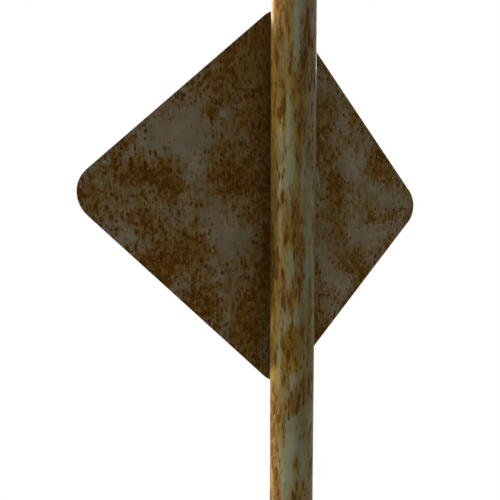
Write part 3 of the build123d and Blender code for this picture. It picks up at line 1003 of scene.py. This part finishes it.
# %% Cap
cap_low, cap_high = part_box("post_cap")
RIM_H = 0.005
CAP_WALL = 0.0025
PLUG_R = BORE_R - 0.0016
PLUG_RINGS = 3
RIM_ROUND = 0.0012
RIM_BREAK = 0.0004
GATE_R = 0.0022
GATE_DEPTH = 0.0008
dome_h = cap_high.z - post_high.z - RIM_H
dome_r = (POST_R ** 2 + dome_h ** 2) / (2 * dome_h)


def dome(radius_from, radius_to, sink, steps):
    """Points down the dome between two radii, this far below its outside."""
    points = []
    for s in range(steps + 1):
        r = radius_from + (radius_to - radius_from) * s / steps
        points.append((r, cap_high.z - sink - dome_r + math.sqrt(dome_r ** 2 - r ** 2)))
    return points


rim_top = post_high.z + RIM_H
gate_z = cap_high.z - GATE_DEPTH
gate = [(0, gate_z), (GATE_R, gate_z), (GATE_R + 0.0006, cap_high.z - 0.0001)]
shoulder = dome(0.004, POST_R - RIM_ROUND, 0, 24)
rim = []
for a in (math.radians(degrees) for degrees in (35, 60, 90)):
    rim.append((POST_R - RIM_ROUND * (1 - math.sin(a)), rim_top - RIM_ROUND * (1 - math.cos(a)) * 0.6))
rim += [(POST_R, post_high.z + RIM_BREAK), (POST_R - RIM_BREAK, post_high.z), (PLUG_R, post_high.z)]
plug = []
ring_step = (post_high.z - cap_low.z) / (PLUG_RINGS + 1)
for ring in range(1, PLUG_RINGS + 1):
    z = post_high.z - ring_step * ring
    plug += [(PLUG_R, z + 0.0016), (BORE_R, z + 0.0010), (BORE_R, z + 0.0004), (PLUG_R, z)]
plug_bore = PLUG_R - CAP_WALL
plug += [(PLUG_R, cap_low.z), (plug_bore, cap_low.z), (plug_bore, post_high.z + CAP_WALL)]
hollow = dome(plug_bore - 0.001, 0, CAP_WALL, 10)
cap_shape = lathe(gate + shoulder + rim + plug + hollow, POST_STEPS, closed=False)
make_piece("cap", [cap_shape], cap_finish, ["post_cap"], crisp=40)

# %% [markdown]
# ## The fixings
#
# Each fixing holds the sign to the round tube from the road side alone: a flange bolt, a steel
# washer, a nylon washer that spares the sheeting, a plastic saddle that fits the tube, and a blind
# rivet nut crimped into its wall. The zinc on bolts and washers has gone dull and rusts through at
# the corners.

# %% Fixing finishes
ZINC = (tone(128, 124, 114), tone(164, 162, 154))
ZINC_RUSTS = (tone(72, 40, 18), tone(126, 72, 30))


def tired_zinc(name):
    """Dull zinc plating with rust coming through it."""
    finish = Finish(name, 0.5)
    finish.shader.inputs["Metallic"].default_value = 0.7
    bloom = finish.clouds(0.004, detail=4, roughness=0.6)
    colour = finish.mix(finish.rise(bloom, 0.35, 0.7), *ZINC)
    rust = finish.rise(finish.clouds(0.006, (1, 1, 1.4), detail=5, roughness=0.65), 0.47, 0.6)
    brown = finish.mix(finish.clouds(0.0015), *ZINC_RUSTS)
    colour = finish.mix(rust, colour, brown)
    relief = finish.sum((rust, 0.5), (finish.product(rust, bloom), 1.0), (bloom, 0.15))
    roughness = finish.sum((rust, 0.4), (bloom, 0.2), 0.38)
    return finish.finished(colour, roughness, relief, 0.00015)


zinc_finish = tired_zinc("tired_zinc")
nylon_finish = weathered_plastic("dirty_nylon", tone(160, 152, 128), tone(196, 190, 170), 0.4)
saddle_finish = weathered_plastic("grey_saddle_plastic", tone(52, 52, 50), tone(92, 90, 84))
print("fixing finishes mixed")

# %% [markdown]
# A bolt has three parts that a quick stand-in lacks: a flange that slopes up to the hexagon, corners
# of the head turned down to a cone, and a real helix for its thread. The head is a stack of rings:
# round at the flange, six-sided above it, and round again where the cone is the smaller of the two.

# %% Bolt head
FLATS = 0.013
HEAD_H = 0.008
FLANGE_H = 0.0012
CROWN = 0.0013
HEAD_STEPS = 96
HEAD_TOP_R = FLATS / 2 - 0.0003


def hex_reach(angle):
    """Distance from the axis to the side of a hexagon, in this direction."""
    return FLATS / 2 / math.cos((angle + math.radians(30)) % math.radians(60) - math.radians(30))


def bolt_head(flange_r):
    """Flange and head, seated on z = 0. The hexagon's corners are limited by a cone."""
    angles = [math.tau * s / HEAD_STEPS for s in range(HEAD_STEPS)]
    rows = [[Vector((0, 0, 0))] * HEAD_STEPS]
    levels = [(flange_r - 0.0002, 0), (flange_r, 0.0002), (flange_r, FLANGE_H - 0.0002),
              (flange_r - 0.0003, FLANGE_H)]
    for radius, z in levels:
        rows.append([Vector((radius * math.cos(a), radius * math.sin(a), z)) for a in angles])
    heights = [FLANGE_H * 1.7, FLANGE_H * 1.9] + [HEAD_H - CROWN * 2 * (1 - k / 6) for k in range(7)]
    for z in heights:
        cone = HEAD_TOP_R + (HEAD_H - z) * 0.75
        radii = [min(hex_reach(a), cone) for a in angles]
        rows.append([Vector((math.cos(a), math.sin(a), 0)) * r + UPRIGHT * z for a, r in zip(angles, radii)])
    for share in (0.8, 0.0):
        r = share * HEAD_TOP_R
        rows.append([Vector((r * math.cos(a), r * math.sin(a), HEAD_H - 0.0002)) for a in angles])
    return rows


print("across the corners:", round(2 * hex_reach(math.radians(30)), 4))

# %% [markdown]
# The thread is a grid wound round the shank, where every corner's radius depends on how far along and
# how far round it sits. Near the head the groove fades out, and near the tip the shank narrows.

# %% Threaded shank
PITCH = 0.00125
BOLT_R = 0.004
THREAD_DEPTH = 0.0007
SHANK_STEPS = 32
ROWS_PER_PITCH = 8


def bolt_shank(length):
    """A threaded shank that runs down from z = 0 to its tip."""
    rows = [[Vector((0, 0, -length))] * SHANK_STEPS]
    count = round(length / PITCH * ROWS_PER_PITCH)
    for k in range(count + 1):
        z = -length + length * k / count
        row = []
        for s in range(SHANK_STEPS):
            phase = (z / PITCH - s / SHANK_STEPS) % 1
            groove = THREAD_DEPTH * abs(2 * phase - 1)
            tip = min(1.0, 0.78 + (z + length) / 0.004)
            ramp = min(1.0, -z / 0.002)
            radius = (BOLT_R - groove * ramp) * tip
            a = math.tau * s / SHANK_STEPS
            row.append(Vector((radius * math.cos(a), radius * math.sin(a), z)))
        rows.append(row)
    rows.append([Vector((0, 0, 0.0005))] * SHANK_STEPS)
    return rows


HEAD_TURNS = {"upper": math.radians(13), "lower": math.radians(41)}  # no two heads stop alike
for end, height in FIXING_HEIGHTS.items():
    low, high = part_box(f"{end}_bolt")
    seat = low.y + HEAD_H
    head = skin(bolt_head(high.x), close_columns=True)
    shank = skin(bolt_shank(high.y - seat), close_columns=True)
    make_piece(f"{end}_flange_bolt", [head, shank], zinc_finish, [f"{end}_bolt"],
               facing_road(seat, height, HEAD_TURNS[end]), crisp=28)

# %% [markdown]
# Washers are turned rings. The steel one spreads the bolt's pull, and the nylon one under it keeps the
# steel off the sheeting.

# %% Washers
def ring(outer, inner, thickness, edge):
    """A flat washer on z = 0, with broken rims."""
    return lathe([(inner, edge), (inner, thickness - edge), (inner + edge, thickness),
                  (outer - edge, thickness), (outer, thickness - edge), (outer, edge), (outer - edge, 0),
                  (inner + edge, 0)], steps=64)


WASHER_EDGE = 0.0003
STEEL_HOLE_R = 0.0042
WASHERS = [
    ("steel", STEEL_HOLE_R, zinc_finish, "fixing_steel"),
    ("nylon", BOLT_HOLE_R, nylon_finish, "nylon"),
]
for end, height in FIXING_HEIGHTS.items():
    for kind, hole_r, finish, slot in WASHERS:
        low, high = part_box(f"{end}_{kind}_washer")
        washer = ring(high.x, hole_r, high.y - low.y, WASHER_EDGE)
        make_piece(f"{end}_{kind}_ring", [washer], finish, [f"{end}_{kind}_washer"],
                   facing_road(high.y, height))

# %% [markdown]
# A flat sign on a round tube needs a seat. The saddle starts as a flat block with round corners and
# broken edges. A cylinder as wide as the post is cut out of its back, and a shallow pocket makes room
# for the rivet nut's flange.

# %% Saddles
SADDLE_CORNER_R = 0.004
SADDLE_EDGE = 0.0004
SADDLE_CELL = 0.05
SADDLE_CRISP = 25
POCKET_R = 0.0075
POCKET_DEPTH = 0.0012


def rod(radius, half_length, steps):
    """A plain cylinder about the origin, along Z."""
    profile = [(0, -half_length), (radius, -half_length), (radius, half_length), (0, half_length)]
    return lathe(profile, steps, closed=False)


for end, height in FIXING_HEIGHTS.items():
    low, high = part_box(f"{end}_saddle")
    outline = round_corners(square(high.x), SADDLE_CORNER_R, 8)
    hole = circle(Vector((0, 0)), BOLT_HOLE_R)
    block = blank(outline, [hole], high.y - low.y, SADDLE_EDGE, SADDLE_CELL)
    saddle = make_piece(f"{end}_tube_saddle", [block], saddle_finish, [f"{end}_saddle"],
                        facing_road(high.y, height))
    cut_away(saddle, rod(POST_R, high.x * 2, 192), Matrix.Translation((0, 0, height)))
    cut_away(saddle, rod(POCKET_R, POCKET_DEPTH, 48), facing_road(-POST_R, height))
    soften(saddle, SADDLE_CRISP)

# %% [markdown]
# The rivet nut is a turned sleeve: a thin flange outside the wall, a bulge inside it that was crimped
# when the nut was set, and a bore for the bolt.

# %% Rivet nuts
for end, height in FIXING_HEIGHTS.items():
    low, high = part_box(f"{end}_rivet_nut")
    front = -POST_R - low.y
    tail = -(high.y + POST_R)
    wall = -POST_WALL
    flange = [(BOLT_R, front), (0.0068, front), (0.007, front - 0.0002), (0.007, 0.0002), (0.0068, 0)]
    crimp = [(NUT_HOLE_R, 0), (NUT_HOLE_R, wall - 0.0004), (0.0068, wall - 0.0008), (0.0073, wall - 0.002),
             (0.0068, wall - 0.0034), (NUT_HOLE_R, wall - 0.004)]
    sleeve = [(NUT_HOLE_R, tail + 0.0004), (NUT_HOLE_R - 0.0004, tail), (BOLT_R, tail)]
    make_piece(f"{end}_blind_nut", [lathe(flange + crimp + sleeve, 48)], zinc_finish,
               [f"{end}_rivet_nut"], facing_road(-POST_R, height))

# %% [markdown]
# ## The foot
#
# The post is welded to a thick square plate with a hole at each corner for an anchor bolt. The plate
# is a blank like the sign, only thicker. The hole positions come from the mount that the CAD model
# declares, and the large hole in the middle drains the tube.

# %% Base plate
base_low, base_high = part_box("base_plate")
BASE_CORNER_R = 0.015
BASE_EDGE = 0.0012
BASE_CELL = 0.008
DRAIN_R = 0.025
anchors = next(mount for mount in frame["record"]["mounts"] if mount["name"] == "anchor_bolts")
anchor_reach = anchors["dims"]["spacing_x_mm"] / 2000  # half the spacing, in metres
anchor_r = anchors["dims"]["hole_r_mm"] / 1000
sides = (-anchor_reach, anchor_reach)
base_holes = [circle(Vector((x, y)), anchor_r) for x in sides for y in sides]
base_holes.append(circle(Vector((0, 0)), DRAIN_R, 64))
base_outline = round_corners(square(base_high.x), BASE_CORNER_R, 10)
base_shape = blank(base_outline, base_holes, base_high.z - base_low.z, BASE_EDGE, BASE_CELL)
base = make_piece("foot_plate", [base_shape], foot_finish, ["base_plate"])

# %% [markdown]
# Four upright gussets stiffen the joint. Each has its inner corner clipped, so that it clears the
# ring of weld, and a short upright nose at both ends of its slope. All four are one blank, turned
# about the post.

# %% Gussets
GUSSET_CLIP = 0.014
GUSSET_NOSE = 0.015
GUSSET_EDGE = 0.0006
GUSSET_CELL = 0.007
GUSSET_CORNER_R = 0.0012
GUSSETS = {"right": 0, "back": 90, "left": 180, "front": 270}
_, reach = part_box("gusset_right")
gusset_bottom = base_high.z
gusset_top = reach.z
gusset_t = 2 * reach.y
gusset_corners = [
    (POST_R + GUSSET_CLIP, gusset_bottom), (reach.x, gusset_bottom),
    (reach.x, gusset_bottom + GUSSET_NOSE), (POST_R + GUSSET_NOSE, gusset_top),
    (POST_R, gusset_top), (POST_R, gusset_bottom + GUSSET_CLIP),
]
gusset_outline = round_corners([Vector(p) for p in gusset_corners], GUSSET_CORNER_R, 4)
gusset_shape = blank(gusset_outline, [], gusset_t, GUSSET_EDGE, GUSSET_CELL)
gussets = []
for side, angle in GUSSETS.items():
    place = Matrix.Rotation(math.radians(angle), 4, "Z") @ Matrix.Translation((0, gusset_t / 2, 0))
    place = place @ Matrix.Rotation(math.radians(90), 4, "X")
    gussets.append(make_piece(f"{side}_gusset", [gusset_shape], foot_finish,
                              [f"gusset_{side}"], place))

# %% [markdown]
# Rust gathers where water stands: round the welds, in the corners between gusset and plate, and at
# the plate's rim. A map for the foot needs no hand-picked patches. It takes a distance from the post
# and from the ground, and some drift.

# %% Rust on the foot
def ground_plan(corners):
    """Seen from above."""
    return corners[:, 0], corners[:, 1]


def over_foot(corners):
    """More rust near the post, near the rim and near the ground."""
    away = np.hypot(corners[:, 0], corners[:, 1])
    near_post = np.exp(-((away - POST_R) / 0.02) ** 2)
    rim = np.exp(-((base_high.x - np.abs(corners[:, :2]).max(1)) / 0.012))
    low = np.exp(-(corners[:, 2] / 0.02))
    slow = drift(corners, 0.03, 4)
    stain = 0.45 + 0.3 * slow + 0.3 * near_post
    rust = 0.42 + 0.45 * slow + 0.3 * near_post + 0.3 * rim + 0.1 * low
    return {"stain": stain, "rust": rust}


for piece in [base] + gussets:
    lay_map(piece, ground_plan, [], over_foot)

# %% [markdown]
# ## The welds
#
# A weld is laid down drop by drop, so its surface is a row of overlapping scales. A bead is a bulged
# triangle drawn out along a line, and its bulge swells and shrinks a little with every drop. Its legs
# stay a little shorter than the CAD model's plain bead, which leaves room for the swelling.

# %% Section of a bead
DROP = 0.0034
BULGE = 0.28
ARC_STEPS = 6


def bead_section(leg, swell):
    """A bulged triangle in the corner between two surfaces, as (outwards, upwards) points."""
    arc = []
    for s in range(ARC_STEPS + 1):
        t = s / ARC_STEPS
        straight = Vector((leg * (1 - t), leg * t))
        arc.append(straight + Vector((1, 1)).normalized() * leg * (BULGE * swell) * math.sin(math.pi * t))
    return arc


def ripple(distance, seed):
    """How full the bead is here: each drop is highest just behind its front edge."""
    phase = distance / DROP + 0.25 * noise.noise(Vector((distance / 0.02, seed, 0)))
    return 0.55 + 0.45 * (1 - phase % 1) ** 0.7 + 0.15 * noise.noise(Vector((distance / 0.008, seed, 3)))


print("a bead's swell over one drop:", [round(ripple(DROP * k / 4, 1.0), 2) for k in range(4)])

# %% [markdown]
# The ring weld runs once round the foot of the tube, so its grid closes on itself both ways.

# %% Ring weld
RING_STEPS = 420
RING_BURIED = 0.0008
ring_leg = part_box("foot_weld")[1].x - POST_R
ring_rows = []
for s in range(RING_STEPS):
    a = math.tau * s / RING_STEPS
    swell = ripple(a * POST_R, 1.0)
    out = Vector((math.cos(a), math.sin(a), 0))
    crown = bead_section(ring_leg * (0.9 + 0.05 * swell), swell)
    section = [Vector((-RING_BURIED, 0))] + crown + [Vector((-RING_BURIED, ring_leg * 0.9))]
    ring_rows.append([out * (POST_R + p.x) + UPRIGHT * (base_high.z + p.y) for p in section])
ring_weld = make_piece("ring_weld", [skin(ring_rows, close_rows=True, close_columns=True)], weld_finish,
                       ["foot_weld"], crisp=60)

# %% [markdown]
# Sixteen short beads hold the gussets: on each flank of a gusset, one runs along the base plate and
# one up the tube. A straight bead tapers at both ends, where the welder starts and stops.

# %% Gusset welds
GUSSET_LEG = 0.005
BURIED = 0.0006
BEAD_STEP = 0.0006


def bead(start, along, out, up, length, seed):
    """One straight bead in the corner between the directions out and up."""
    steps = round(length / BEAD_STEP)
    rows = []
    for s in range(steps + 1):
        t = s / steps
        taper = min(1.0, 0.25 + math.sqrt(max(0.0, min(t, 1 - t) * length / 0.003)))
        swell = ripple(t * length, seed)
        crown = bead_section(GUSSET_LEG * taper * (0.92 + 0.05 * swell), swell)
        root = [Vector((-BURIED, -BURIED)), Vector((crown[0].x, -BURIED))]
        section = root + crown + [Vector((-BURIED, crown[-1].y))]
        rows.append([start + along * (t * length) + out * p.x + up * p.y for p in section])
    points = len(rows[0])
    corners, faces = skin(rows, close_columns=True)
    faces.append(tuple(range(points - 1, -1, -1)))
    faces.append(tuple(range(len(corners) - points, len(corners))))
    return corners, faces


foot_run = reach.x - POST_R - GUSSET_CLIP
tube_run = gusset_top - base_high.z - GUSSET_CLIP
sunk = POST_R - math.sqrt(POST_R ** 2 - (gusset_t / 2) ** 2)
beads = []
for number, angle in enumerate(GUSSETS.values()):
    outwards = Matrix.Rotation(math.radians(angle), 3, "Z")
    x = outwards @ Vector((1, 0, 0))
    y = outwards @ Vector((0, 1, 0))
    for flank in (1, -1):
        side = y * flank
        foot_start = x * (POST_R + GUSSET_CLIP) + side * (gusset_t / 2) + UPRIGHT * base_high.z
        beads.append(bead(foot_start, x, side, UPRIGHT, foot_run, 2.0 + number + flank * 0.3))
        tube_start = x * (POST_R - sunk) + side * (gusset_t / 2) + UPRIGHT * (base_high.z + GUSSET_CLIP)
        beads.append(bead(tube_start, UPRIGHT, side, x, tube_run, 9.0 + number + flank * 0.3))
short_welds = make_piece("gusset_beads", beads, weld_finish, ["gusset_welds"], crisp=60)


def over_welds(corners):
    """Welds rust first, because paint runs off their crests."""
    return {"stain": 0.5 + 0.3 * drift(corners, 0.02, 6), "rust": 0.62 + 0.4 * drift(corners, 0.015, 8)}


for piece in (ring_weld, short_welds):
    lay_map(piece, ground_plan, [], over_welds)

# %% [markdown]
# ## Floor, light and air
#
# The floor is a pale disc that fades into white away from the post, so there is no horizon. Only the
# camera sees that white: the light that bounces off the disc is pale grey everywhere.

# %% Floor
FLOOR_R = 4.0
FADE_FROM = 0.9
FADE_TO = 1.5
GROUND = (tone(205, 204, 200), tone(214, 213, 209))


def pale_floor():
    """Pale ground that turns into plain white away from the post."""
    finish = Finish("pale_floor", 0.2)
    away = finish.nodes.new("ShaderNodeVectorMath")
    away.operation = "LENGTH"
    finish.plug(finish.place, away.inputs[0])
    white = finish.rise(away.outputs["Value"], FADE_FROM, FADE_TO)
    speckle = finish.clouds(0.03, detail=3)
    finish.finished(finish.mix(speckle, *GROUND), 0.8, speckle, 0.0002)
    glow = finish.nodes.new("ShaderNodeEmission")
    seen = finish.nodes.new("ShaderNodeLightPath").outputs["Is Camera Ray"]
    blend = finish.nodes.new("ShaderNodeMixShader")
    finish.plug(finish.product(white, seen), blend.inputs[0])
    finish.plug(finish.shader.outputs["BSDF"], blend.inputs[1])
    finish.plug(glow.outputs[0], blend.inputs[2])
    finish.plug(blend.outputs[0], finish.nodes["Material Output"].inputs["Surface"])
    return finish.material


disc = bpy.data.meshes.new("floor")
corners, faces = lathe([(0, 0), (0.5, 0), (FADE_FROM, 0), (FADE_TO, 0), (FLOOR_R, 0)], 64, closed=False)
disc.from_pydata(corners, [], faces)
disc.materials.append(pale_floor())
floor = bpy.data.objects.new("floor", disc)
bpy.context.scene.collection.objects.link(floor)
print("floor", 2 * FLOOR_R, "metres wide")

# %% [markdown]
# Four soft lamps stand on the road side of the sign. The road lamp lights the printed face. The warm
# lamp, a low sun, shines past the sign's edge and only grazes the post, so the post's rim glows above
# and below the sign and stays dark behind it. The side lamp stands nearly level with the sign, and
# softens that rim. The cool lamp, a patch of open sky, grazes the post's other side.

# %% Lamps
def soft_lamp(name, towards, distance, size, power, colour):
    """A large round lamp that shines on the sign's middle from this direction."""
    lamp = bpy.data.lights.new(name, "AREA")
    lamp.shape = "DISK"
    lamp.size = size
    lamp.energy = power
    lamp.color = colour
    stand = bpy.data.objects.new(name, lamp)
    direction = Vector(towards).normalized()
    stand.location = sign_centre + direction * distance
    stand.rotation_euler = direction.to_track_quat("Z", "Y").to_euler()
    stand.visible_camera = False
    bpy.context.scene.collection.objects.link(stand)


soft_lamp("road_lamp", (0.10, -0.90, 0.42), 3.0, 1.8, 38, (1.0, 0.97, 0.90))
soft_lamp("warm_lamp", (0.66, -0.75, 0.06), 2.6, 0.9, 185, (1.0, 0.86, 0.60))
soft_lamp("side_lamp", (0.98, -0.16, 0.08), 2.5, 0.6, 48, (1.0, 0.86, 0.56))
soft_lamp("cool_lamp", (-0.60, -0.60, 0.50), 3.0, 1.2, 44, (0.80, 0.90, 1.0))
print(len(bpy.data.lights), "lamps")

# %% [markdown]
# The air is a soft dome: cool from above, dim and warm from below. The camera sees plain white
# instead of it, so the piece stands free.

# %% Air
FROM_BELOW = (0.34, 0.28, 0.20, 1)
FROM_ABOVE = (0.60, 0.62, 0.64, 1)
air = bpy.data.worlds.new("air")
bpy.context.scene.world = air
air.use_nodes = True
sky = air.node_tree
sky.nodes.clear()
direction = sky.nodes.new("ShaderNodeTexCoord")
split = sky.nodes.new("ShaderNodeSeparateXYZ")
sky.links.new(direction.outputs["Generated"], split.inputs[0])
blend = sky.nodes.new("ShaderNodeMapRange")
blend.inputs["From Min"].default_value = -0.6
blend.inputs["From Max"].default_value = 0.8
sky.links.new(split.outputs["Z"], blend.inputs["Value"])
tint = sky.nodes.new("ShaderNodeMix")
tint.data_type = "RGBA"
tint.inputs[MIX_UNDER].default_value = FROM_BELOW
tint.inputs[MIX_OVER].default_value = FROM_ABOVE
sky.links.new(blend.outputs["Result"], tint.inputs[MIX_AMOUNT])
soft = sky.nodes.new("ShaderNodeBackground")
sky.links.new(tint.outputs[MIX_RESULT], soft.inputs["Color"])
plain_white = sky.nodes.new("ShaderNodeBackground")
plain_white.inputs["Color"].default_value = (1, 1, 1, 1)
choice = sky.nodes.new("ShaderNodeMixShader")
seen = sky.nodes.new("ShaderNodeLightPath")
sky.links.new(seen.outputs["Is Camera Ray"], choice.inputs[0])
sky.links.new(soft.outputs[0], choice.inputs[1])
sky.links.new(plain_white.outputs[0], choice.inputs[2])
output = sky.nodes.new("ShaderNodeOutputWorld")
sky.links.new(choice.outputs[0], output.inputs["Surface"])
bpy.context.scene.view_settings.view_transform = "Standard"
print("air:", air.name)
